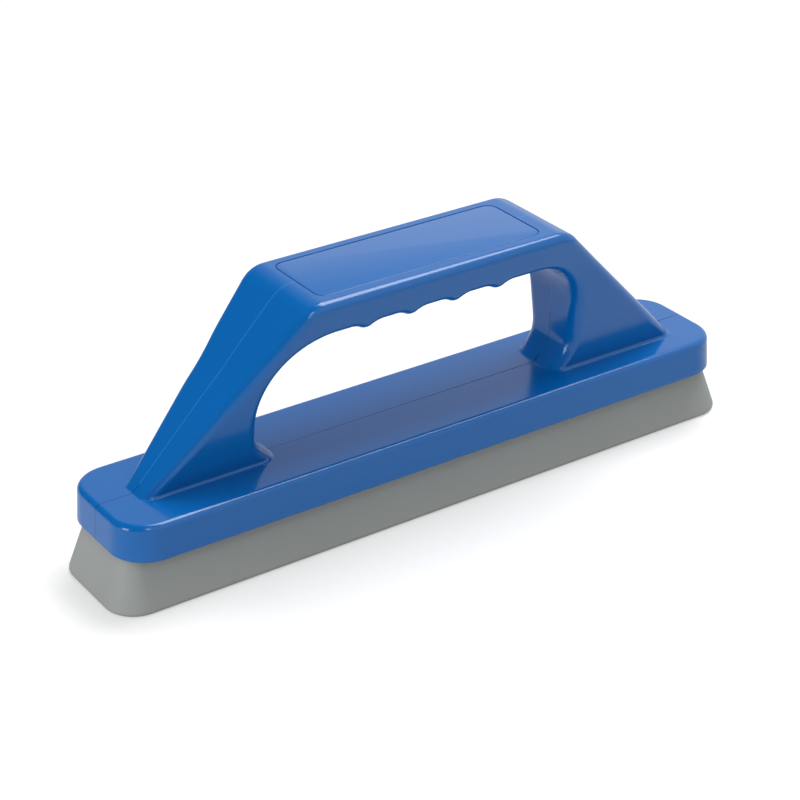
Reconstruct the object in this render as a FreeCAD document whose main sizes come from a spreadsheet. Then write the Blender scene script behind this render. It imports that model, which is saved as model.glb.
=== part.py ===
"""Hand float: a two-half moulded handle with a scalloped grip, standing on a flared grey pad.

Frame: X along the float, Y across it, Z up, in millimetres. The origin is the middle of the pad's sole.
"""
import FreeCAD
import Part
import Sketcher
import os
from math import atan, degrees, pi
from FreeCAD import Vector

SIZES = {
    "pad_width": 54.4,
    "pad_corner": 14.0,
    "pad_tuck": 2.1,
    "pad_flare": 8.0,
    "pad_gap": 0.5,
    "sole_round": 1.6,
    "skirt_base": 22.4,
    "tray_length": 291.0,
    "tray_width": 54.6,
    "tray_draft": 4.0,
    "deck_height": 37.5,
    "deck_skin": 3.2,
    "tray_wall": 2.4,
    "tray_corner": 16.0,
    "deck_round": 2.5,
    "skirt_round": 0.8,
    "grip_top": 106.2,
    "grip_width": 50.0,
    "root_width": 17.0,
    "nose_inset": 16.9,
    "crest_reach": 61.0,
    "crest_round": 14.0,
    "opening_left": 86.0,
    "opening_right": 71.0,
    "grip_depth": 15.4,
    "left_corner": 38.0,
    "right_corner": 23.5,
    "flare_height": 9.5,
    "flare_reach": 4.5,
    "flare_round": 15.0,
    "finger_start": -34.7,
    "finger_pitch": 20.9,
    "finger_round": 5.0,
    "finger_drop": 2.2,
    "finger_blend": 9.0,
    "crest_edge": 3.5,
    "rim_round": 4.5,
    "leg_root": 1.2,
    "shell_wall": 3.0,
    "seam_gap": 0.2,
    "panel_left_margin": 7.0,
    "panel_right_margin": 10.0,
    "panel_side_margin": 7.5,
    "panel_thick": 2.0,
    "panel_corner": 4.5,
    "panel_gap": 0.35,
    "panel_edge": 0.4,
    "peg_radius": 1.5,
    "peg_length": 2.6,
    "peg_end_inset": 12.5,
    "peg_side_inset": 8.5,
    "peg_gap": 0.1,
    "plate_thick": 4.0,
    "plate_gap": 0.4,
    "screw_radius": 1.5,
    "screw_head": 3.2,
    "screw_sink": 1.9,
    "screw_tip_room": 1.2,
    "screw_gap": 0.05,
    "plate_hole_gap": 0.3,
    "plate_draft_room": 0.6,
    "screw_inset": 20.0,
    "screw_side_inset": 12.3,
    "pilot_room": 0.4,
    "boss_radius": 4.0,
    "pin_radius": 2.0,
    "pin_length": 4.0,
    "pin_gap": 0.1,
    "stud_radius": 4.5,
    "grip_stud_reach": 24.0,
}

FINGER_COUNT = 4
# How far a cutting shape reaches past the face that it cuts.
PAST = 1.0
# How far an edge's middle may lie from the line that it is looked for on.
EDGE_ROOM = 0.5
# A 45 degree line that touches a rounded corner cuts this share of its radius off each side.
CORNER_CUT = 2 - 2 ** 0.5


class Dim:
    """A size that knows its value and the sheet expression that it comes from."""

    def __init__(self, value, text):
        self.value = float(value)
        self.text = text

    @staticmethod
    def of(other):
        return other if isinstance(other, Dim) else Dim(other, "(%r)" % float(other))

    def join(self, other, sign, value):
        return Dim(value, "(%s %s %s)" % (self.text, sign, other.text))

    def __add__(self, other):
        other = Dim.of(other)
        return self.join(other, "+", self.value + other.value)

    def __sub__(self, other):
        other = Dim.of(other)
        return self.join(other, "-", self.value - other.value)

    def __mul__(self, other):
        other = Dim.of(other)
        return self.join(other, "*", self.value * other.value)

    def __truediv__(self, other):
        other = Dim.of(other)
        return self.join(other, "/", self.value / other.value)

    def __neg__(self):
        return Dim(0, "(0)") - self

    def root(self):
        return Dim(self.value ** 0.5, "sqrt(%s)" % self.text)

    def as_angle(self):
        """The angle, in degrees, whose slope this is."""
        return Dim(degrees(atan(self.value)), "atan(%s)" % self.text)

    __radd__ = __add__

    def __rsub__(self, other):
        return Dim.of(other) - self


doc = FreeCAD.newDocument("hand_float")
sheet = doc.addObject("Spreadsheet::Sheet", "Sizes")
for row, (alias, number) in enumerate(SIZES.items(), start=1):
    sheet.set("A%d" % row, alias)
    sheet.set("B%d" % row, str(number))
    sheet.setAlias("B%d" % row, alias)
doc.recompute()
size = {alias: Dim(number, "Sizes.%s" % alias) for alias, number in SIZES.items()}
# Sizes that follow from the driving ones, so that pieces which meet stay together.
size["pad_height"] = size["skirt_base"] + size["pad_tuck"]
size["plate_top"] = size["pad_height"] + size["plate_thick"]
size["room_top"] = size["deck_height"] - size["deck_skin"]
size["screw_length"] = size["room_top"] - size["screw_tip_room"] - size["pad_height"]
size["screw_spread"] = size["tray_width"] / 2 - size["screw_side_inset"]
size["nose_reach"] = size["tray_length"] / 2 - size["nose_inset"]
size["opening_top"] = size["grip_top"] - size["grip_depth"]
size["panel_base"] = size["grip_top"] - size["panel_thick"]
size["panel_length"] = size["crest_reach"] * 2 - size["panel_left_margin"] - size["panel_right_margin"]
size["panel_width"] = size["grip_width"] - size["panel_side_margin"] * 2
size["panel_shift"] = (size["panel_left_margin"] - size["panel_right_margin"]) / 2
size["peg_reach"] = size["panel_length"] / 2 - size["peg_end_inset"]
size["peg_spread"] = size["panel_width"] / 2 - size["peg_side_inset"]


def bind(thing, **sizes):
    """Tie properties of an object to sizes; a double underscore in a name stands for a dot."""
    for name, dim in sizes.items():
        thing.setExpression(name.replace("__", "."), Dim.of(dim).text)


def make_body(name):
    body = doc.addObject("PartDesign::Body", name)
    body.Label = name
    return body


def sketch_on(body, name, role, height=None):
    """Start a sketch on one of the body's origin planes, lifted along the plane's normal."""
    sketch = body.newObject("Sketcher::SketchObject", name)
    plane = [item for item in body.Origin.OriginFeatures if item.Role == role][0]
    sketch.AttachmentSupport = [(plane, "")]
    sketch.MapMode = "FlatFace"
    if height is not None:
        sketch.setExpression("AttachmentOffset.Base.z", Dim.of(height).text)
    return sketch


def pin_point(sketch, geometry, point, across, up):
    """Fix a sketch point by its two distances from the sketch's origin."""
    for kind, dim in (("DistanceX", across), ("DistanceY", up)):
        dim = Dim.of(dim)
        index = sketch.addConstraint(Sketcher.Constraint(kind, -1, 1, geometry, point, dim.value))
        sketch.setExpression("Constraints[%d]" % index, dim.text)


def quarter_arc(start, end):
    """A quarter turn to the left between two points, from upright or from level."""
    if start.x > end.x and start.y < end.y:
        middle, first = Vector(end.x, start.y, 0), 0.0
    else:
        middle, first = Vector(start.x, end.y, 0), pi / 2
    circle = Part.Circle(middle, Vector(0, 0, 1), middle.distanceToPoint(start))
    return Part.ArcOfCircle(circle, first, first + pi / 2)


def draw_polygon(sketch, corners, arcs=None):
    """A closed polygon whose corners are pinned to sizes.

    The sides numbered in arcs are quarter arcs, each given with its centre's distance across.
    """
    arcs = arcs or {}
    corners = [(Dim.of(across), Dim.of(up)) for across, up in corners]
    points = [Vector(across.value, up.value, 0) for across, up in corners]
    sides = []
    for number, (start, end) in enumerate(zip(points, points[1:] + points[:1])):
        shape = quarter_arc(start, end) if number in arcs else Part.LineSegment(start, end)
        sides.append(sketch.addGeometry(shape, False))
    for side, after in zip(sides, sides[1:] + sides[:1]):
        sketch.addConstraint(Sketcher.Constraint("Coincident", side, 2, after, 1))
    for side, (across, up) in zip(sides, corners):
        pin_point(sketch, side, 1, across, up)
    for side, centre in arcs.items():
        index = sketch.addConstraint(Sketcher.Constraint("DistanceX", -1, 1, sides[side], 3, centre.value))
        sketch.setExpression("Constraints[%d]" % index, centre.text)


def draw_circle(sketch, across, up, radius):
    across, up, radius = Dim.of(across), Dim.of(up), Dim.of(radius)
    place = Vector(across.value, up.value, 0)
    circle = sketch.addGeometry(Part.Circle(place, Vector(0, 0, 1), radius.value), False)
    pin_point(sketch, circle, 3, across, up)
    index = sketch.addConstraint(Sketcher.Constraint("Radius", circle, radius.value))
    sketch.setExpression("Constraints[%d]" % index, radius.text)


def pad_of(body, sketch, length, name, both_ways=False):
    pad = body.newObject("PartDesign::Pad", name)
    pad.Profile = sketch
    pad.Midplane = both_ways
    bind(pad, Length=length)
    doc.recompute()


def pocket_of(body, sketch, length, name):
    before = body.Shape.Volume
    pocket = body.newObject("PartDesign::Pocket", name)
    pocket.Profile = sketch
    pocket.Midplane = True
    bind(pocket, Length=length)
    doc.recompute()
    if body.Shape.isNull() or body.Shape.Volume >= before:
        raise RuntimeError("%s removes nothing" % name)


def edges_where(shape, test):
    """Names of the edges whose middle point and direction there pass the test."""
    names = []
    for number, edge in enumerate(shape.Edges, start=1):
        middle = (edge.FirstParameter + edge.LastParameter) / 2
        if test(edge, edge.valueAt(middle), edge.tangentAt(middle)):
            names.append("Edge%d" % number)
    return names


def round_edges(body, name, radius, test):
    """Round the edges of a body's shape that pass the test."""
    base = body.Tip
    names = edges_where(base.Shape, test)
    if not names:
        raise RuntimeError("%s finds no edge" % name)
    fillet = body.newObject("PartDesign::Fillet", name)
    fillet.Base = (base, names)
    bind(fillet, Radius=radius)
    doc.recompute()


def near(value, target, slack=0.05):
    return abs(value - target) < slack


def is_upright(edge, mid, way):
    return near(abs(way.z), 1)


def lean_sides(body, name, angle, low, high):
    """Lean the upright walls that stand from low to high inwards about the flat face at low."""
    base, walls, floors = body.Tip, [], []
    for number, face in enumerate(base.Shape.Faces, start=1):
        box = face.BoundBox
        if near(box.ZMin, low.value) and near(box.ZMax, high.value):
            walls.append("Face%d" % number)
        elif near(box.ZMin, low.value) and near(box.ZMax, low.value):
            floors.append("Face%d" % number)
    draft = body.newObject("PartDesign::Draft", name)
    draft.Base = (base, walls)
    draft.NeutralPlane = (base, floors)
    bind(draft, Angle=angle)
    doc.recompute()
    if draft.Shape.isNull() or draft.Shape.Volume >= base.Shape.Volume:
        raise RuntimeError("%s does not lean inwards" % name)


def rectangle(reach, side, shift=0.0):
    """Corners of a rectangle about the middle plane, given by its half length and half width."""
    return [(shift + reach, -side), (shift + reach, side), (shift - reach, side), (shift - reach, -side)]


def tray_outline(inset=0.0):
    """Corners of the tray's plan, or of what lies an inset inside it."""
    return rectangle(size["tray_length"] / 2 - inset, size["tray_width"] / 2 - inset)


def slope_run():
    """How far the end slope goes in for each millimetre that it rises."""
    return (size["nose_reach"] - size["crest_reach"]) / (size["grip_top"] - size["deck_height"])


def slope_at(height):
    """Distance of the end slope from the middle at a height."""
    return size["nose_reach"] - (Dim.of(height) - size["deck_height"]) * slope_run()


def lean_region(width_top, width_root, top, root, foot, outside):
    """Corners of the area beside a leaning flank, on the +Y side, with the flank drawn on to the foot."""
    lean = (width_top - width_root) / 2 / (top - root)
    foot_side = width_root / 2 - lean * (root - foot)
    return [(foot_side, foot), (width_top / 2, top), (outside, top), (outside, foot)]


def make_tray():
    """The long tray under the legs, with its skirt leaning in a little towards the deck."""
    body = make_body("tray")
    low, high = size["skirt_base"], size["deck_height"]
    outline = sketch_on(body, "tray_plan", "XY_Plane", low)
    draw_polygon(outline, tray_outline())
    pad_of(body, outline, high - low, "tray_block")
    round_edges(body, "tray_corners", size["tray_corner"], is_upright)
    lean_sides(body, "tray_lean", size["tray_draft"], low, high)
    round_edges(body, "deck_edge", size["deck_round"], lambda edge, mid, way: near(mid.z, high.value))
    round_edges(body, "skirt_edge", size["skirt_round"], lambda edge, mid, way: near(mid.z, low.value))
    return body


def make_handle_form():
    """The outside of both halves together: tray, legs, grip, opening and finger humps."""
    body = make_body("handle_form")
    top, deck = size["grip_top"], size["deck_height"]
    foot = deck - size["deck_skin"] / 2

    profile = sketch_on(body, "side_profile", "XZ_Plane")
    left, right = size["opening_left"], size["opening_right"]
    bend = deck + size["flare_height"]
    flare = size["flare_reach"] / size["flare_height"] * (bend - foot)
    throat, left_sweep, right_sweep = size["opening_top"], size["left_corner"], size["right_corner"]
    draw_polygon(profile, [(-slope_at(foot), foot), (-size["crest_reach"], top), (size["crest_reach"], top),
                           (slope_at(foot), foot), (right - flare, foot), (right, bend),
                           (right, throat - right_sweep), (right - right_sweep, throat),
                           (left_sweep - left, throat), (-left, throat - left_sweep), (-left, bend),
                           (flare - left, foot)], {6: right - right_sweep, 8: left_sweep - left})
    pad_of(body, profile, size["grip_width"], "arch", both_ways=True)

    hump = sketch_on(body, "hump_profile", "XZ_Plane")
    hump_rise = size["finger_round"] - size["finger_drop"]
    draw_circle(hump, size["finger_start"], size["opening_top"] + hump_rise, size["finger_round"])
    pad_of(body, hump, size["grip_width"], "finger_hump", both_ways=True)
    humps = body.newObject("PartDesign::LinearPattern", "finger_humps")
    humps.Originals = [doc.getObject("finger_hump")]
    humps.Direction = (hump, ["H_Axis"])
    humps.Occurrences = FINGER_COUNT
    bind(humps, Length=size["finger_pitch"] * (FINGER_COUNT - 1))
    body.Tip = humps
    doc.recompute()

    round_edges(body, "flares", size["flare_round"], lambda edge, mid, way: near(mid.z, bend.value)
                and (near(mid.x, -left.value) or near(mid.x, right.value)))
    round_edges(body, "finger_seats", size["finger_blend"],
                lambda edge, mid, way: near(mid.z, throat.value) and near(abs(way.y), 1)
                and (left_sweep - left).value < mid.x - PAST and mid.x + PAST < (right - right_sweep).value)
    round_edges(body, "crests", size["crest_round"],
                lambda edge, mid, way: near(mid.z, top.value) and near(abs(way.y), 1))

    region = lean_region(size["grip_width"], size["root_width"], top, deck, foot, size["grip_width"])
    for name, side in (("rear", 1), ("front", -1)):
        lean = sketch_on(body, "%s_flank" % name, "YZ_Plane")
        draw_polygon(lean, [(across * side, up) for across, up in region])
        pocket_of(body, lean, size["tray_length"], "%s_lean" % name)

    round_edges(body, "crest_edges", size["crest_edge"], is_outer_edge)
    round_edges(body, "rim_edges", size["rim_round"], is_rim_edge)

    tray = body.newObject("PartDesign::Boolean", "legs_on_tray")
    tray.setObjects([make_tray()])
    tray.Type = "Fuse"
    doc.recompute()
    round_edges(body, "leg_roots", size["leg_root"],
                lambda edge, mid, way: near(mid.z, deck.value) and not is_outline(mid))
    return body


def is_outline(mid):
    """Whether a point lies at the tray's outline, more than halfway out from the legs."""
    past_nose = abs(mid.x) * 2 > (size["nose_reach"] + size["tray_length"] / 2).value
    past_flank = abs(mid.y) * 4 > (size["root_width"] + size["tray_width"]).value
    return past_nose or past_flank


def flank_edge(edge, mid, way):
    """An edge between a flank and the profile's walls: off the middle, and running along the profile."""
    return abs(mid.y) > size["root_width"].value / 2 - PAST and not near(abs(way.y), 1)


def is_outer_edge(edge, mid, way):
    """An edge of a flank along a slope, a crest or the grip's top."""
    on_slope = near(abs(mid.x), slope_at(mid.z).value)
    on_top = mid.z > size["grip_top"].value - size["crest_round"].value / 2
    return flank_edge(edge, mid, way) and (on_slope or on_top)


def is_rim_edge(edge, mid, way):
    """An edge of a flank round the opening."""
    inside = -size["opening_left"].value - EDGE_ROOM < mid.x < size["opening_right"].value + EDGE_ROOM
    return flank_edge(edge, mid, way) and inside and mid.z < size["opening_top"].value + EDGE_ROOM


def make_block(name, low, high):
    """A box between two corners given as sizes."""
    block = doc.addObject("Part::Box", name)
    spans = [end - start for start, end in zip(low, high)]
    bind(block, Length=spans[0], Width=spans[1], Height=spans[2], Placement__Base__x=low[0],
         Placement__Base__y=low[1], Placement__Base__z=low[2])
    return block


def make_rod(name, radius, length, place, turn=None):
    """A cylinder from a place, along Z or turned."""
    rod = doc.addObject("Part::Cylinder", name)
    if turn is not None:
        rod.Placement = FreeCAD.Placement(Vector(0, 0, 0), turn)
    bind(rod, Radius=radius, Height=length, Placement__Base__x=place[0], Placement__Base__y=place[1],
         Placement__Base__z=place[2])
    return rod


def join(name, items):
    joined = doc.addObject("Part::MultiFuse", name)
    joined.Shapes = items
    return joined


def cut(name, base, tool):
    result = doc.addObject("Part::Cut", name)
    result.Base, result.Tool = base, tool
    return result


def common(name, items):
    result = doc.addObject("Part::MultiCommon", name)
    result.Shapes = items
    return result


TO_FRONT = FreeCAD.Rotation(Vector(1, 0, 0), 90)


def make_handle_core():
    """The hollow inside legs and grip, one wall in from the outside."""
    body = make_body("handle_core")
    wall, deck = size["shell_wall"], size["deck_height"]
    ceiling = size["panel_base"] - wall
    inset = wall * (slope_run() * slope_run() + 1).root()
    floor_reach = slope_at(deck) - inset
    ceiling_reach = slope_at(ceiling) - inset
    throat = size["opening_top"] + wall
    left = size["opening_left"] + wall
    right = size["opening_right"] + wall
    cut_left = (size["left_corner"] + wall) * CORNER_CUT
    cut_right = (size["right_corner"] + wall) * CORNER_CUT
    profile = sketch_on(body, "core_profile", "XZ_Plane")
    draw_polygon(profile, [(-floor_reach, deck), (-ceiling_reach, ceiling), (ceiling_reach, ceiling),
                           (floor_reach, deck), (right, deck), (right, throat - cut_right),
                           (right - cut_right, throat), (cut_left - left, throat),
                           (-left, throat - cut_left), (-left, deck)])
    pad_of(body, profile, size["grip_width"], "core_arch", both_ways=True)
    region = lean_region(size["grip_width"] - wall * 2, size["root_width"] - wall * 2,
                         size["grip_top"], deck, deck - PAST, size["grip_width"])
    for name, side in (("core_rear", 1), ("core_front", -1)):
        lean = sketch_on(body, "%s_flank" % name, "YZ_Plane")
        draw_polygon(lean, [(across * side, up) for across, up in region])
        pocket_of(body, lean, size["tray_length"], "%s_lean" % name)
    return body


def make_tray_core():
    """The room inside the skirt, under the deck."""
    body = make_body("tray_core")
    plan = sketch_on(body, "core_plan", "XY_Plane", size["skirt_base"] - PAST)
    draw_polygon(plan, tray_outline(size["tray_wall"]))
    low, high = size["skirt_base"] - PAST, size["room_top"]
    pad_of(body, plan, high - low, "core_room")
    round_edges(body, "core_corners", size["tray_corner"] - size["tray_wall"], is_upright)
    lean_sides(body, "core_lean", size["tray_draft"], low, high)
    return body


def stud_places():
    """Where the alignment studs cross the seam: one in each leg and two in the grip."""
    top, under = size["grip_top"], size["opening_top"]
    leg_height = size["deck_height"] + (top - size["deck_height"]) / 4
    grip_height = (under + size["panel_base"]) / 2
    return [("leg_left", -(size["opening_left"] + slope_at(leg_height)) / 2, leg_height),
            ("leg_right", (size["opening_right"] + slope_at(leg_height)) / 2, leg_height),
            ("grip_left", -size["grip_stud_reach"], grip_height),
            ("grip_right", size["grip_stud_reach"], grip_height)]


def screw_places():
    """Two rows of three evenly spaced places along the tray."""
    outer = size["tray_length"] / 2 - size["screw_inset"]
    return [(outer * share, size["screw_spread"] * side) for share in (-1, 0, 1) for side in (-1, 1)]


def make_pegs(name, radius, base, length):
    """Four upright pegs, or the holes for them, under the grip panel."""
    pegs = []
    for ahead in (-1, 1):
        for aside in (-1, 1):
            place = (size["panel_shift"] + size["peg_reach"] * ahead, size["peg_spread"] * aside, base)
            pegs.append(make_rod("%s_%d" % (name, len(pegs)), radius, length, place))
    return join(name, pegs)


def make_studs(name, radius, start, length):
    """Rods across the seam at each alignment place, from a distance behind it towards the front."""
    rods = [make_rod("%s_%s" % (name, place), radius, length, (across, start, up), TO_FRONT)
            for place, across, up in stud_places()]
    return join(name, rods)


def make_screw_rods(name, radius, base, length):
    rods = []
    for across, aside in screw_places():
        rods.append(make_rod("%s_%d" % (name, len(rods)), radius, length, (across, aside, base)))
    return join(name, rods)


def make_panel_block(name, gap, base, rise):
    """The rounded plate of the grip panel, or the recess that takes it."""
    body = make_body(name)
    sketch = sketch_on(body, "%s_plan" % name, "XY_Plane", base)
    reach, side = size["panel_length"] / 2 + gap, size["panel_width"] / 2 + gap
    draw_polygon(sketch, rectangle(reach, side, size["panel_shift"]))
    pad_of(body, sketch, rise, "%s_plate" % name)
    round_edges(body, "%s_corners" % name, size["panel_corner"] + gap, is_upright)
    return body


def make_halves(form):
    """Both handle halves: the form, hollowed and split at the seam, with studs, bosses and panel seat."""
    top, panel_base, plate_top = size["grip_top"], size["panel_base"], size["plate_top"]
    hollow = join("hollow", [make_handle_core(), make_tray_core()])
    shell = cut("shell", form, hollow)
    stud_reach = size["grip_width"]
    stud_rods = make_studs("stud_rods", size["stud_radius"], stud_reach / 2, stud_reach)
    studs = common("studs", [form, stud_rods])
    bosses = make_screw_rods("screw_bosses", size["boss_radius"], plate_top,
                             size["room_top"] + size["deck_skin"] / 2 - plate_top)
    solid = join("filled_shell", [shell, studs, bosses])
    seat = make_panel_block("panel_seat", size["panel_gap"], panel_base, size["panel_thick"] + PAST)
    peg_base = panel_base - size["peg_length"] - size["peg_gap"]
    peg_holes = make_pegs("peg_holes", size["peg_radius"] + size["peg_gap"], peg_base,
                          size["peg_length"] + PAST)
    pilots = make_screw_rods("pilots", size["screw_radius"] + size["screw_gap"], plate_top - PAST,
                             size["screw_length"] - size["plate_thick"] + size["pilot_room"] + PAST)
    bored = cut("bored_shell", solid, join("bores", [seat, peg_holes, pilots]))
    reach, side, half_gap = size["tray_length"], size["tray_width"], size["seam_gap"] / 2
    front_room = make_block("front_room", (-reach, -side, Dim.of(0)), (reach, -half_gap, top + PAST))
    rear_room = make_block("rear_room", (-reach, half_gap, Dim.of(0)), (reach, side, top + PAST))
    pin_back = size["pin_length"]
    pins = make_studs("pins", size["pin_radius"], pin_back, pin_back * 2)
    sockets = make_studs("sockets", size["pin_radius"] + size["pin_gap"], pin_back,
                         pin_back * 2 + size["seam_gap"])
    front = cut("handle_half_front", common("front_blank", [bored, front_room]), sockets)
    rear = join("handle_half_rear", [common("rear_blank", [bored, rear_room]), pins])
    return front, rear


def make_grip_panel():
    """The bare plate let into the grip top, with four pegs under it."""
    base, thick = size["panel_base"], size["panel_thick"]
    plate = make_panel_block("panel_plate", Dim.of(0), base, thick)
    round_edges(plate, "panel_rim", size["panel_edge"],
                lambda edge, mid, way: near(mid.z, size["grip_top"].value))
    pegs = make_pegs("panel_pegs", size["peg_radius"], base - size["peg_length"],
                     size["peg_length"] + thick / 2)
    return join("grip_panel", [plate, pegs])


def make_float_pad():
    """The flared grey pad: widest at its sole, with drafted sides and a rounded lower edge."""
    body = make_body("float_pad")
    sketch = sketch_on(body, "sole_plan", "XY_Plane")
    reach = size["tray_length"] / 2 - size["tray_wall"] - size["pad_gap"] + size["pad_flare"]
    draw_polygon(sketch, rectangle(reach, size["pad_width"] / 2))
    pad_of(body, sketch, size["pad_height"], "pad_block")
    round_edges(body, "pad_corners", size["pad_corner"], is_upright)
    flare_angle = (size["pad_flare"] / size["skirt_base"]).as_angle()
    lean_sides(body, "pad_lean", flare_angle, Dim.of(0), size["pad_height"])
    round_edges(body, "sole_edge", size["sole_round"], lambda edge, mid, way: near(mid.z, 0))
    return body


def make_backing_plate():
    """The stiff plate inside the skirt, bored and countersunk from below for the screws."""
    body = make_body("plate_blank")
    sketch = sketch_on(body, "plate_plan", "XY_Plane", size["pad_height"])
    draw_polygon(sketch, tray_outline(size["tray_wall"] + size["plate_gap"] + size["plate_draft_room"]))
    pad_of(body, sketch, size["plate_thick"], "plate_block")
    corner = size["tray_corner"] - size["tray_wall"] - size["plate_gap"]
    round_edges(body, "plate_corners", corner, is_upright)
    hole_radius = size["screw_radius"] + size["plate_hole_gap"]
    holes = make_screw_rods("plate_holes", hole_radius, size["pad_height"] - PAST,
                            size["plate_thick"] + PAST * 2)
    sinks = make_cones("plate_sinks", size["plate_hole_gap"])
    return cut("pad_backing_plate", body, join("plate_bores", [holes, sinks]))


def make_cones(name, gap):
    """A countersink cone at each screw, wide end down."""
    cones = []
    for across, aside in screw_places():
        cone = doc.addObject("Part::Cone", "%s_%d" % (name, len(cones)))
        bind(cone, Radius1=size["screw_head"] + gap, Radius2=size["screw_radius"] + gap,
             Height=size["screw_sink"], Placement__Base__x=across,
             Placement__Base__y=aside, Placement__Base__z=size["pad_height"])
        cones.append(cone)
    return join(name, cones)


def make_screws():
    """Identical countersunk screws, heads flush with the plate's underside."""
    shanks = make_screw_rods("shanks", size["screw_radius"], size["pad_height"], size["screw_length"])
    return join("backing_screws", [shanks, make_cones("screw_heads", Dim.of(0))])


def check_document():
    """Stop if any object failed."""
    for item in doc.Objects:
        if "Invalid" in item.State or "Error" in item.State:
            raise RuntimeError("%s failed: %s" % (item.Name, item.State))


def write_parts(pieces):
    """Write each piece's solid to its own file."""
    for piece in pieces:
        if piece.Shape.isNull() or not piece.Shape.isValid():
            raise RuntimeError("%s has no valid shape" % piece.Label)
    os.makedirs("parts", exist_ok=True)
    for piece in pieces:
        shape = piece.Shape
        print(piece.Label, "solids", len(shape.Solids), "volume", round(shape.Volume, 1))
        shape.exportStep("parts/%s.step" % piece.Label)


handle_halves = make_halves(make_handle_form())
kept = [*handle_halves, make_grip_panel(), make_float_pad(), make_backing_plate(), make_screws()]
doc.recompute()
check_document()
write_parts(kept)
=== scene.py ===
"""Looks of a hand float: a glossy blue two-half handle with a bare inset plate, on a flared grey pad.

Lengths are metres in the part's own frame: X along the float, Y across it, Z up from the sole.
"""
import logging
import math
from dataclasses import dataclass, field
from enum import Enum
from typing import Any, Dict, List, Optional, Sequence, Tuple, Union

import bmesh
import bpy
import numpy as np
from mathutils import Matrix, Vector


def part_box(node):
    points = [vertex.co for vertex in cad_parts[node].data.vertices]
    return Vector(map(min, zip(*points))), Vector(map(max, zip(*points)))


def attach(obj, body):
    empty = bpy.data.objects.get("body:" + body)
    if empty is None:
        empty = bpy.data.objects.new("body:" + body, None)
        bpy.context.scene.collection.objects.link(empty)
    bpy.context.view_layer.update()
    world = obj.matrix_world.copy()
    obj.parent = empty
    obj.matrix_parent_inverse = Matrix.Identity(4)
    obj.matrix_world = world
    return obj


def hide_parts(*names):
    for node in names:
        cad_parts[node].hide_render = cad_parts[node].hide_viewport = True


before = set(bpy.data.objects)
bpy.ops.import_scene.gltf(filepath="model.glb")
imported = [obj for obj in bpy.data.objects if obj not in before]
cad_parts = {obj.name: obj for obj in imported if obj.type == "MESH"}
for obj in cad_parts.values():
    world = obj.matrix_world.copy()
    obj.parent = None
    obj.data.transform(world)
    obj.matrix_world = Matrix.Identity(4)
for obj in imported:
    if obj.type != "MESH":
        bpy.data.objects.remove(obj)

MM = 0.001
DECK = 37.5 * MM
BODY = "root"
Colour = Tuple[float, float, float, float]
log = logging.getLogger("hand_float")


class Slot(Enum):
    """Material slots of the part's record."""

    HANDLE = "handle_blue"
    PANEL = "panel_blue"
    PAD = "pad_grey"
    PLATE = "plate_black"
    SCREW = "screw_steel"


class Signal:
    """A shader value that adds Math nodes when Python operators act on it."""

    def __init__(self, board: "Board", socket: bpy.types.NodeSocket) -> None:
        """Wrap one output socket of a board's node.

        Args:
            board: The board that new nodes go on.
            socket: The output that carries the value.
        """
        self.board = board
        self.socket = socket

    def _maths(self, operation: str, *terms: Union["Signal", float]) -> "Signal":
        """Add one Math node.

        Args:
            operation: The Math node's operation.
            terms: Its inputs in order.

        Returns:
            The node's value.
        """
        inputs = {index: term for index, term in enumerate(terms)}
        return self.board.add("ShaderNodeMath", {"operation": operation}, inputs, "Value")

    def __add__(self, other: Union["Signal", float]) -> "Signal":
        """The sum of two values."""
        return self._maths("ADD", self, other)

    def __sub__(self, other: Union["Signal", float]) -> "Signal":
        """This value less another."""
        return self._maths("SUBTRACT", self, other)

    def __rsub__(self, other: float) -> "Signal":
        """A number less this value."""
        return self._maths("SUBTRACT", other, self)

    def __mul__(self, other: Union["Signal", float]) -> "Signal":
        """The product of two values."""
        return self._maths("MULTIPLY", self, other)

    def __truediv__(self, other: Union["Signal", float]) -> "Signal":
        """This value over another."""
        return self._maths("DIVIDE", self, other)

    def __pow__(self, other: float) -> "Signal":
        """This value raised to a power."""
        return self._maths("POWER", self, other)

    __radd__ = __add__
    __rmul__ = __mul__

    def size(self) -> "Signal":
        """The value without its sign."""
        return self._maths("ABSOLUTE", self)

    def limited(self) -> "Signal":
        """The value held between 0 and 1."""
        return self._maths("MINIMUM", self._maths("MAXIMUM", self, 0.0), 1.0)


Input = Union[Signal, float, Sequence[float]]


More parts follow.
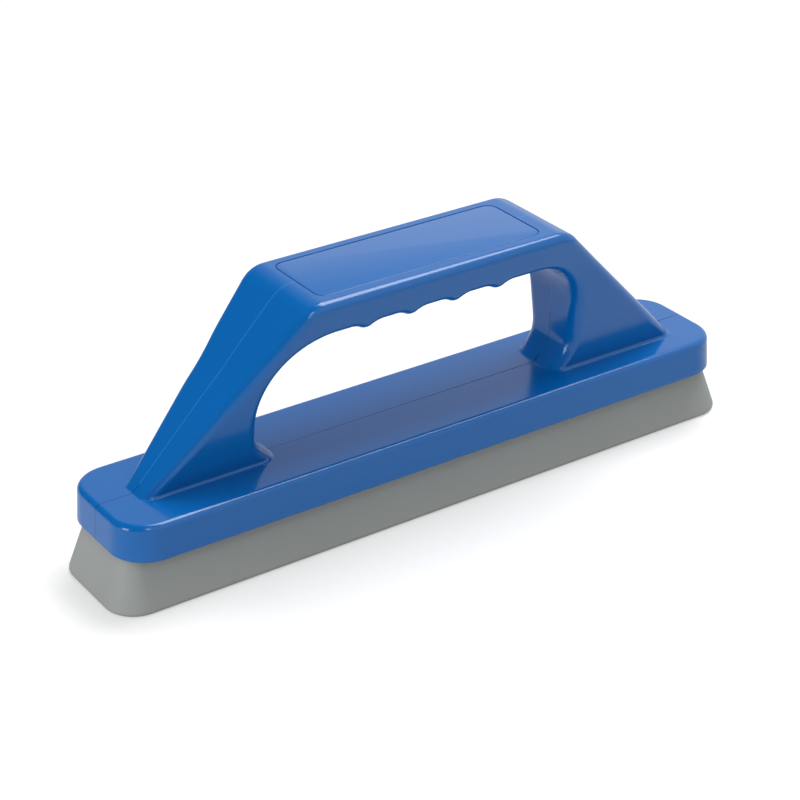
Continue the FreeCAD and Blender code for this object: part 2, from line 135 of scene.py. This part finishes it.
class Board:
    """The node tree of one material or of the world."""

    def __init__(self, owner: Union[bpy.types.Material, bpy.types.World]) -> None:
        """Empty the owner's tree and start afresh.

        Args:
            owner: The material or world that the tree belongs to.
        """
        owner.use_nodes = True
        self.tree = owner.node_tree
        self.tree.nodes.clear()

    def add(self, kind: str, settings: Optional[Dict[str, Any]] = None,
            inputs: Optional[Dict[Union[str, int], Input]] = None, output: Union[str, int] = 0) -> Signal:
        """Add any node: its settings first, then its sockets.

        Args:
            kind: The node's type name.
            settings: Properties of the node.
            inputs: Values or signals for its sockets, by name or number.
            output: The output that the result reads.

        Returns:
            The chosen output as a signal.
        """
        node = self.tree.nodes.new(kind)
        for name, value in (settings or {}).items():
            setattr(node, name, value)
        for name, value in (inputs or {}).items():
            if isinstance(value, Signal):
                self.tree.links.new(value.socket, node.inputs[name])
            else:
                node.inputs[name].default_value = value
        return Signal(self, node.outputs[output])

    def place(self) -> Signal:
        """The point being shaded, in the object's own metres."""
        return self.add("ShaderNodeTexCoord", output="Object")

    def parts_of(self, vector: Signal) -> Tuple[Signal, Signal, Signal]:
        """Split a vector.

        Args:
            vector: The vector to split.

        Returns:
            Its X, Y and Z.
        """
        split = self.add("ShaderNodeSeparateXYZ", inputs={"Vector": vector})
        node = split.socket.node
        return tuple(Signal(self, node.outputs[axis]) for axis in "XYZ")

    def noise(self, place: Signal, grain: float, detail: float = 2.0, seed: float = 0.0) -> Signal:
        """Cloudy noise with a known grain.

        Args:
            place: The point to read it at.
            grain: The size of one blotch, in metres.
            detail: How many finer layers it has.
            seed: Which noise of its kind.

        Returns:
            The noise, about 0.5 on average.
        """
        return self.add("ShaderNodeTexNoise", {"noise_dimensions": "4D"},
                        {"Vector": place, "Scale": 1.0 / grain, "Detail": detail, "W": seed}, 0)

    def blend(self, amount: Input, first: Input, second: Input) -> Signal:
        """Mix two colours.

        Args:
            amount: 0 for the first, 1 for the second.
            first: One colour.
            second: The other colour.

        Returns:
            The mixed colour.
        """
        node = self.tree.nodes.new("ShaderNodeMix")
        node.data_type = "RGBA"
        sockets = [s for s in node.inputs if s.enabled]
        for socket, value in zip(sockets, (amount, first, second)):
            if isinstance(value, Signal):
                self.tree.links.new(value.socket, socket)
            else:
                socket.default_value = value
        return Signal(self, [s for s in node.outputs if s.enabled][0])

    def relief(self, height: Signal, depth: float) -> Signal:
        """Turn a height into a bumped normal.

        Args:
            height: The height, 0 to 1.
            depth: What 1 stands for, in metres.

        Returns:
            The normal.
        """
        return self.add("ShaderNodeBump", inputs={"Height": height, "Distance": depth, "Strength": 1.0})

    def surface(self, shader: Signal) -> None:
        """Make a shader the tree's surface."""
        of_world = isinstance(self.tree.id_data, bpy.types.World)
        output = self.tree.nodes.new("ShaderNodeOutputWorld" if of_world else "ShaderNodeOutputMaterial")
        self.tree.links.new(shader.socket, output.inputs["Surface"])


@dataclass(frozen=True)
class Moulding:
    """A smooth moulded plastic, slightly waved as a thick moulding is."""

    name: str
    colour: Colour
    deep_colour: Colour
    roughness: float
    wave_depth: float
    # Parting line colour: painted shade near the deck and a painted glint above it, blended in by this amount.
    seam_painted_light: float = 0.0
    seam_width: float = 0.35 * MM
    seam_painted_shade: Colour = (0.0, 0.03, 0.13, 1)
    seam_painted_glint: Colour = (0.03, 0.24, 0.62, 1)
    above_deck: float = DECK + 2.5 * MM
    drift_size: float = 60 * MM
    grain_size: float = 0.6 * MM
    wave_size: float = 9 * MM
    deep_share: float = 0.5
    drift_gloss: float = 0.06
    grain_gloss: float = 0.05
    wave_share: float = 0.85

    def material(self) -> bpy.types.Material:
        """The plastic: faint colour drift, a soft gloss that varies, and a low sink-mark wave."""
        material = bpy.data.materials.new(self.name)
        board = Board(material)
        place = board.place()
        drift = board.noise(place, self.drift_size, detail=2.0, seed=1.0)
        grain = board.noise(place, self.grain_size, detail=3.0, seed=2.0)
        colour = board.blend(drift * self.deep_share, self.colour, self.deep_colour)
        _, across, up = board.parts_of(place)
        # Painted light at the parting line: painted shade by the deck, a painted glint higher up.
        near_seam = (1.0 - across.size() / self.seam_width).limited()
        glint_share = ((up - self.above_deck) / MM).limited()
        seam = board.blend(glint_share, self.seam_painted_shade, self.seam_painted_glint)
        colour = board.blend(near_seam * self.seam_painted_light, colour, seam)
        roughness = (drift - 0.5) * self.drift_gloss + (grain - 0.5) * self.grain_gloss + self.roughness
        wave = board.noise(place, self.wave_size, detail=1.0, seed=3.0)
        wave = wave * self.wave_share + grain * (1 - self.wave_share)
        board.surface(board.add("ShaderNodeBsdfPrincipled", inputs={
            "Base Color": colour, "Roughness": roughness, "IOR": 1.48, "Specular IOR Level": 0.5,
            "Normal": board.relief(wave, self.wave_depth)}))
        return material


@dataclass(frozen=True)
class Rubber:
    """A dense matt rubber or foam with fine pores and a handled, slightly dusty face."""

    name: str
    colour: Colour
    dusty_colour: Colour
    roughness: float
    pore_depth: float
    cloud_size: float = 35 * MM
    pore_size: float = 0.5 * MM
    sole_band_height: float = 3 * MM
    cloud_dust: float = 0.45
    pore_dust: float = 0.25
    sole_lightening: float = 0.25
    pore_gloss: float = 0.12

    def material(self) -> bpy.types.Material:
        """The rubber as a material."""
        material = bpy.data.materials.new(self.name)
        board = Board(material)
        place = board.place()
        _, _, up = board.parts_of(place)
        cloud = board.noise(place, self.cloud_size, detail=3.0, seed=4.0)
        pores = board.noise(place, self.pore_size, detail=4.0, seed=5.0)
        # Paler towards the sole, over its lowest few millimetres.
        low = (1.0 - up / self.sole_band_height).limited()
        dust = (cloud * self.cloud_dust + pores * self.pore_dust + low * self.sole_lightening).limited()
        colour = board.blend(dust, self.colour, self.dusty_colour)
        roughness = (pores - 0.5) * self.pore_gloss + self.roughness
        board.surface(board.add("ShaderNodeBsdfPrincipled", inputs={
            "Base Color": colour, "Roughness": roughness, "IOR": 1.45, "Specular IOR Level": 0.35,
            "Normal": board.relief(pores, self.pore_depth)}))
        return material


@dataclass(frozen=True)
class Plating:
    """Zinc-plated steel with a fine turned grain."""

    name: str
    colour: Colour
    roughness: float
    grain_size: float = 0.3 * MM
    grain_gloss: float = 0.2

    def material(self) -> bpy.types.Material:
        """The plating as a material."""
        material = bpy.data.materials.new(self.name)
        board = Board(material)
        grain = board.noise(board.place(), self.grain_size, detail=2.0, seed=6.0)
        roughness = (grain - 0.5) * self.grain_gloss + self.roughness
        board.surface(board.add("ShaderNodeBsdfPrincipled", inputs={
            "Base Color": self.colour, "Metallic": 1.0, "Roughness": roughness}))
        return material


@dataclass
class Finishes:
    """Every finish of the float."""

    # The handle's parting line gets painted shade and a painted glint.
    blue: Moulding = Moulding(
        "moulded_blue", (0.0005, 0.118, 0.405, 1), (0.0005, 0.102, 0.37, 1),
        roughness=0.17, wave_depth=0.006 * MM, seam_painted_light=0.8)
    plate_blue: Moulding = Moulding(
        "panel_blue", (0.0005, 0.118, 0.405, 1), (0.0005, 0.106, 0.385, 1),
        roughness=0.24, wave_depth=0.006 * MM)
    grey: Rubber = Rubber(
        "pad_rubber", (0.285, 0.302, 0.295, 1), (0.35, 0.368, 0.36, 1),
        roughness=0.6, pore_depth=0.03 * MM)
    black: Moulding = Moulding(
        "plate_black", (0.02, 0.02, 0.022, 1), (0.012, 0.012, 0.013, 1),
        roughness=0.5, wave_depth=0.01 * MM)
    zinc: Plating = Plating("screw_zinc", (0.55, 0.56, 0.58, 1), 0.32)


def add_piece(name: str, points: np.ndarray, faces: List[Tuple[int, ...]], material: bpy.types.Material,
              replaced: Sequence[str]) -> bpy.types.Object:
    """Make a finished piece that rides on the float.

    Args:
        name: The piece's name.
        points: Its vertices, in metres.
        faces: Its faces as vertex numbers, turned outwards.
        material: Its finish.
        replaced: The nodes that it stands for.

    Returns:
        The new object.
    """
    mesh = bpy.data.meshes.new(name)
    mesh.from_pydata(points.tolist(), [], faces)
    mesh.materials.append(material)
    piece = bpy.data.objects.new(name, mesh)
    bpy.context.scene.collection.objects.link(piece)
    soften(mesh)
    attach(piece, BODY)
    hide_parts(*replaced)
    log.info("%s: %d faces, for %s", name, len(mesh.polygons), ", ".join(replaced))
    return piece


def soften(mesh: bpy.types.Mesh, crease: float = math.radians(28)) -> None:
    """Shade a mesh smooth and keep its real corners.

    Args:
        mesh: The mesh to shade.
        crease: The turn past which an edge stays sharp.
    """
    mesh.polygons.foreach_set("use_smooth", np.ones(len(mesh.polygons), bool))
    mesh.set_sharp_from_angle(angle=crease)
    mesh.update()


def rounded_outline(reach: float, side: float, radius: float, steps: int = 14) -> np.ndarray:
    """Points round a rectangle with round corners: each corner is a quarter circle about its own centre.

    Args:
        reach: Half the length.
        side: Half the width.
        radius: The corners' radius.
        steps: Points in each corner.

    Returns:
        An array of X and Y, going round anticlockwise.
    """
    quarter = np.linspace(0, math.pi / 2, steps)
    corners = np.array([(1, 1), (-1, 1), (-1, -1), (1, -1)])
    turns = quarter[None, :] + np.arange(4)[:, None] * math.pi / 2
    centres = corners * (reach - radius, side - radius)
    points = centres[:, None, :] + radius * np.stack([np.cos(turns), np.sin(turns)], -1)
    return points.reshape(-1, 2)


def swept_solid(rings: np.ndarray) -> Tuple[np.ndarray, List[Tuple[int, ...]]]:
    """Close a stack of rings, lowest first, into a solid with a flat cap at each end.

    Args:
        rings: An array of rings by points by XYZ, each ring anticlockwise from above.

    Returns:
        The vertices, and the faces turned outwards.
    """
    count, around = rings.shape[:2]
    index = np.arange(count * around).reshape(count, around)
    low, high = index[:-1], index[1:]
    quads = np.stack([low, np.roll(low, -1, 1), np.roll(high, -1, 1), high], -1).reshape(-1, 4)
    faces = [tuple(quad) for quad in quads.tolist()]
    faces.append(tuple(index[0][::-1].tolist()))
    faces.append(tuple(index[-1].tolist()))
    return rings.reshape(-1, 3), faces


def smooth_step(value: np.ndarray, start: float, end: float) -> np.ndarray:
    """Ease from 0 at the start to 1 at the end.

    Args:
        value: What is eased.
        start: Where it is still 0.
        end: Where it has reached 1.

    Returns:
        The eased values.
    """
    share = np.clip((value - start) / (end - start), 0, 1)
    return share * share * (3 - 2 * share)


@dataclass(frozen=True)
class LegSweep:
    """How one leg's inner wall swells into the opening towards the deck."""

    end: int
    wall: float
    corner: float
    swell: float
    flare: float
    flare_height: float
    swell_top: float
    throat: float = 90.8 * MM
    skin: float = 1.0 * MM
    full_depth: float = 6 * MM
    fade_depth: float = 15 * MM

    def wall_at(self, height: np.ndarray) -> np.ndarray:
        """Distance of the inner wall from the middle at each height.

        Args:
            height: The heights, in metres.

        Returns:
            The distances.
        """
        over = np.clip(height - (self.throat - self.corner), 0, self.corner)
        return self.wall - self.corner + np.sqrt(self.corner ** 2 - over ** 2)

    def shift(self, points: np.ndarray) -> np.ndarray:
        """How far each point moves along X.

        Args:
            points: The handle's vertices.

        Returns:
            The moves, all towards the opening.
        """
        height = points[:, 2]
        depth = self.end * points[:, 0] - self.wall_at(height)
        close = 1 - smooth_step(depth, self.full_depth, self.fade_depth)
        close = close * (depth > -self.fade_depth / 2)
        close = close * (height > DECK - self.skin) * (height < self.throat)
        low = np.clip(1 - (height - DECK) / self.flare_height, 0, 1)
        lean_from = self.throat - self.corner
        lean = 1 - np.clip((height - lean_from) / (self.swell_top - lean_from), 0, 1)
        return -self.end * close * (self.swell * lean + self.flare * low ** 2)


@dataclass(frozen=True)
class RootSpread:
    """How the leg at the far end widens across the float towards the deck."""

    gain: float = 5.0 * MM
    root_half: float = 8.5 * MM
    grip_half: float = 25 * MM
    top: float = 88 * MM
    skin: float = 1.0 * MM
    rest_gap: float = 2 * MM
    fade_gap: float = 12 * MM
    leg_from: float = 40 * MM
    nose: float = 130 * MM
    past_nose: float = 134 * MM

    def shift(self, points: np.ndarray) -> np.ndarray:
        """How far each point moves along Y.

        Args:
            points: The handle's vertices.

        Returns:
            The moves, all away from the parting plane.
        """
        height, out = points[:, 2], np.abs(points[:, 1])
        share = np.clip((height - DECK) / (self.top - DECK), 0, 1)
        half = self.root_half + (self.grip_half - self.root_half) * share
        held = np.minimum(out / half, 1) * (1 - smooth_step(out - half, self.rest_gap, self.fade_gap))
        held = held * (1 - smooth_step(points[:, 0], self.nose, self.past_nose))
        held = held * (points[:, 0] > self.leg_from) * (height > DECK - self.skin)
        return np.sign(points[:, 1]) * self.gain * (1 - share) * held


@dataclass
class Handle:
    """The two moulded halves: copies of their nodes, smooth-shaded, with the legs swept and widened."""

    finish: Moulding
    merge_gap: float = 0.002 * MM
    nodes: Tuple[str, str] = ("handle_half_front", "handle_half_rear")
    seam_face: float = 0.12 * MM
    seam_left: float = 0.03 * MM
    cut_from: float = 39.5 * MM
    cut_to: float = 88 * MM
    cut_step: float = 2 * MM
    sweeps: Tuple[LegSweep, LegSweep] = (
        LegSweep(end=-1, wall=86 * MM, corner=38 * MM, swell=6.5 * MM,
                 flare=5.5 * MM, flare_height=14 * MM, swell_top=90 * MM),
        LegSweep(end=1, wall=71 * MM, corner=23.5 * MM, swell=0.5 * MM,
                 flare=3.5 * MM, flare_height=16 * MM, swell_top=90 * MM))
    spread: RootSpread = RootSpread()

    def shell_of(self, node: str) -> Tuple[np.ndarray, List[Tuple[int, ...]]]:
        """Join a node's loose triangles where their corners meet.

        Args:
            node: The node's name.

        Returns:
            The joined vertices and faces.
        """
        joined = bmesh.new()
        joined.from_mesh(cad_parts[node].data)
        bmesh.ops.remove_doubles(joined, verts=joined.verts, dist=self.merge_gap)
        bmesh.ops.dissolve_degenerate(joined, edges=joined.edges, dist=self.merge_gap)
        for level in np.arange(self.cut_from, self.cut_to, self.cut_step):
            everything = joined.verts[:] + joined.edges[:] + joined.faces[:]
            bmesh.ops.bisect_plane(joined, geom=everything, dist=self.merge_gap,
                                   plane_co=(0, 0, level), plane_no=(0, 0, 1))
        points = np.array([vertex.co for vertex in joined.verts])
        faces = [tuple(vertex.index for vertex in polygon.verts) for polygon in joined.faces]
        joined.free()
        points[:, 0] += sum(sweep.shift(points) for sweep in self.sweeps)
        points[:, 1] += self.spread.shift(points)
        beside_seam = np.abs(points[:, 1]) < self.seam_face
        points[beside_seam, 1] *= self.seam_left / np.abs(points[beside_seam, 1])
        return points, faces

    def build(self) -> None:
        """Make both halves."""
        material = self.finish.material()
        for node in self.nodes:
            points, faces = self.shell_of(node)
            piece = add_piece("%s_shell" % node, points, faces, material, [node])
            weigh = piece.modifiers.new("even_shading", "WEIGHTED_NORMAL")
            weigh.keep_sharp = True


@dataclass
class GripPanel:
    """The bare plate let into the grip top, with a softly rounded rim."""

    finish: Moulding
    corner: float = 4.5 * MM
    rim: float = 0.4 * MM
    groove_fill: float = 0.33 * MM
    groove_depth: float = 0.45 * MM
    thick: float = 2.0 * MM
    rim_steps: int = 5

    def build(self) -> None:
        """Make the plate: its outline is drawn in along a quarter circle at the rim, then capped flat."""
        low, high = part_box("grip_panel")
        reach, side = (high.x - low.x) / 2, (high.y - low.y) / 2
        middle = np.array([(high.x + low.x) / 2, (high.y + low.y) / 2, 0.0])
        turn = np.linspace(0, math.pi / 2, self.rim_steps)
        sill = high.z - self.groove_depth
        inset = np.concatenate([[-self.groove_fill, -self.groove_fill], self.rim * (1 - np.cos(turn))])
        height = np.concatenate([[high.z - self.thick, sill], high.z - self.rim * (1 - np.sin(turn))])
        rings = []
        for gap, level in zip(inset, height):
            plan = rounded_outline(reach - gap, side - gap, self.corner - gap)
            rings.append(np.column_stack([plan, np.full(len(plan), level)]) + middle)
        points, faces = swept_solid(np.array(rings))
        add_piece("grip_panel_plate", points, faces, self.finish.material(), ["grip_panel"])


@dataclass
class FloatPad:
    """The grey pad: a rounded rectangle that flares towards the sole, with a rounded lower edge."""

    finish: Rubber
    corner: float = 13.4 * MM
    sole_round: float = 1.6 * MM
    flare_slope: float = 8.0 / 22.4
    side_steps: int = 12
    round_steps: int = 9

    def profile(self, height: float) -> Tuple[np.ndarray, np.ndarray]:
        """The side's section: an arc at the sole that runs over into the leaning wall.

        Args:
            height: The pad's height.

        Returns:
            How far each ring is drawn in, and its level.
        """
        lean = math.atan(self.flare_slope)
        turn = np.linspace(-math.pi / 2, lean, self.round_steps)
        round_in, round_up = self.sole_round * (1 - np.cos(turn)), self.sole_round * (1 + np.sin(turn))
        side_up = np.linspace(round_up[-1], height, self.side_steps)[1:]
        side_in = round_in[-1] + (side_up - round_up[-1]) * self.flare_slope
        return np.concatenate([round_in, side_in]), np.concatenate([round_up, side_up])

    def build(self) -> None:
        """Make the pad."""
        low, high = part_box("float_pad")
        inset, level = self.profile(high.z - low.z)
        rings = []
        for gap, up in zip(inset, level):
            plan = rounded_outline(high.x - gap, high.y - gap, self.corner - gap)
            rings.append(np.column_stack([plan, np.full(len(plan), low.z + up)]))
        points, faces = swept_solid(np.array(rings))
        add_piece("float_pad_rubber", points, faces, self.finish.material(), ["float_pad"])


@dataclass
class Base:
    """The backing plate and its screws, which keep their own shapes."""

    plate: Moulding
    screws: Plating

    def build(self) -> None:
        """Dress both nodes."""
        for node, finish in (("pad_backing_plate", self.plate), ("backing_screws", self.screws)):
            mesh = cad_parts[node].data
            mesh.materials.clear()
            mesh.materials.append(finish.material())
            log.info("%s: own shape, finish %s", node, finish.name)


@dataclass(frozen=True)
class Viewpoint:
    """The photograph's camera, as a turn, a height and a distance from a point of the float."""

    azimuth: float = math.radians(34.46)
    elevation: float = math.radians(28.47)
    roll: float = math.radians(0.01)
    distance: float = 889.0 * MM
    aim: Tuple[float, float, float] = (-3.30 * MM, 3.80 * MM, 37.51 * MM)
    focal_pixels: float = 2177.9
    picture_pixels: float = 800.0
    sensor: float = 36.0
    nearest: float = 10 * MM
    furthest: float = 50.0

    def build(self) -> None:
        """Make the camera and look through it."""
        ahead = Vector((math.sin(self.azimuth) * math.cos(self.elevation),
                        math.cos(self.azimuth) * math.cos(self.elevation), -math.sin(self.elevation)))
        right = Vector((math.cos(self.azimuth), -math.sin(self.azimuth), 0))
        up = right.cross(ahead)
        turned_right = right * math.cos(self.roll) + up * math.sin(self.roll)
        turned_up = up * math.cos(self.roll) - right * math.sin(self.roll)
        lens = bpy.data.cameras.new("camera")
        lens.sensor_width = self.sensor
        lens.lens = self.focal_pixels / self.picture_pixels * self.sensor
        lens.clip_start, lens.clip_end = self.nearest, self.furthest
        camera = bpy.data.objects.new("camera", lens)
        turn = Matrix((turned_right, turned_up, -ahead)).transposed().to_4x4()
        camera.matrix_world = Matrix.Translation(Vector(self.aim) - ahead * self.distance) @ turn
        bpy.context.scene.collection.objects.link(camera)
        bpy.context.scene.camera = camera


@dataclass(frozen=True)
class SoftBox:
    """One soft lamp: where it hangs, where it points, how big and how bright it is."""

    name: str
    place: Tuple[float, float, float]
    aim: Tuple[float, float, float]
    wide: float
    high: float
    watts: float

    def build(self) -> None:
        """Hang the lamp."""
        lamp = bpy.data.lights.new(self.name, "AREA")
        lamp.shape = "RECTANGLE"
        lamp.size, lamp.size_y, lamp.energy = self.wide, self.high, self.watts
        holder = bpy.data.objects.new(self.name, lamp)
        holder.location = self.place
        way = Vector(self.aim) - Vector(self.place)
        holder.rotation_euler = way.to_track_quat("-Z", "Y").to_euler()
        bpy.context.scene.collection.objects.link(holder)


@dataclass
class Studio:
    """A white sweep, an even sky and three soft lamps."""

    white: Colour = (1, 1, 1, 1)
    floor_colour: float = 0.68
    floor_glow: float = 0.34
    floor_half: float = 6.0
    sky: float = 0.52
    dark_side: float = 0.03
    dark_towards: Tuple[float, float, float] = (-0.85, 0.25, 0.45)
    dims_from: float = -0.15
    dims_by: float = 1.4
    bright_from: float = 0.30
    bright_to: float = 0.75
    lamps: List[SoftBox] = field(default_factory=lambda: [
        SoftBox("top_box", place=(0.5, 0.2, 1.25), aim=(0, 0, 0.03), wide=0.9, high=0.6, watts=13.0),
        SoftBox("left_box", place=(-1.4, -0.1, 0.3), aim=(0, 0, 0.05), wide=0.5, high=0.5, watts=6.5),
        SoftBox("front_box", place=(-0.5, -1.1, 1.1), aim=(0, 0, 0.05), wide=0.2, high=0.8, watts=3.0)])

    def floor(self) -> None:
        """A wide floor: near the float it takes shadow, and further out the camera sees plain white."""
        mesh = bpy.data.meshes.new("floor")
        half = self.floor_half
        corners = [(-half, -half, 0), (half, -half, 0), (half, half, 0), (-half, half, 0)]
        mesh.from_pydata(corners, [], [(0, 1, 2, 3)])
        floor = bpy.data.objects.new("floor", mesh)
        bpy.context.scene.collection.objects.link(floor)
        material = bpy.data.materials.new("floor_white")
        board = Board(material)
        along, across, _ = board.parts_of(board.place())
        far = (along * along + across * across) ** 0.5
        out = ((far - self.bright_from) / (self.bright_to - self.bright_from)).limited()
        seen = board.add("ShaderNodeLightPath", output="Is Camera Ray")
        grey = (self.floor_colour,) * 3 + (1.0,)
        cloth = board.add("ShaderNodeBsdfDiffuse", inputs={"Color": grey})
        glow = board.add("ShaderNodeEmission", inputs={"Color": self.white, "Strength": seen * self.floor_glow})
        near = board.add("ShaderNodeAddShader", inputs={0: cloth, 1: glow})
        white = board.add("ShaderNodeEmission", inputs={"Color": self.white, "Strength": 1.0})
        board.surface(board.add("ShaderNodeMixShader", inputs={0: out * seen, 1: near, 2: white}))
        mesh.materials.append(material)

    def surroundings(self) -> None:
        """An even sky that the camera and mirror-like faces see as white."""
        world = bpy.data.worlds.new("studio")
        bpy.context.scene.world = world
        board = Board(world)
        seen = board.add("ShaderNodeLightPath", output="Is Camera Ray")
        glossy = Signal(board, seen.socket.node.outputs["Is Glossy Ray"])
        way = board.add("ShaderNodeTexCoord", output="Generated")
        facing = board.add("ShaderNodeVectorMath", {"operation": "DOT_PRODUCT"},
                           {0: way, 1: self.dark_towards}, "Value")
        dimmed = ((facing - self.dims_from) * self.dims_by).limited()
        mirrored = (1.0 - dimmed) * (1.0 - self.dark_side) + self.dark_side
        away = self.sky + glossy * (mirrored - self.sky)
        strength = away + seen * (1.0 - away)
        board.surface(board.add("ShaderNodeBackground", inputs={"Color": self.white, "Strength": strength}))

    def build(self) -> None:
        """Set up floor, sky and lamps."""
        self.floor()
        self.surroundings()
        for lamp in self.lamps:
            lamp.build()


def main() -> None:
    """Build the float's looks, the studio and the camera."""
    logging.basicConfig(level=logging.INFO, format="%(name)s: %(message)s")
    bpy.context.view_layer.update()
    finishes = Finishes()
    Viewpoint().build()
    Studio().build()
    for assembly in (Handle(finishes.blue), GripPanel(finishes.plate_blue), FloatPad(finishes.grey),
                     Base(finishes.black, finishes.zinc)):
        assembly.build()
        log.info("built %s", type(assembly).__name__)
    bpy.context.scene.view_settings.view_transform = "Standard"


if __name__ == "__main__":
    main()
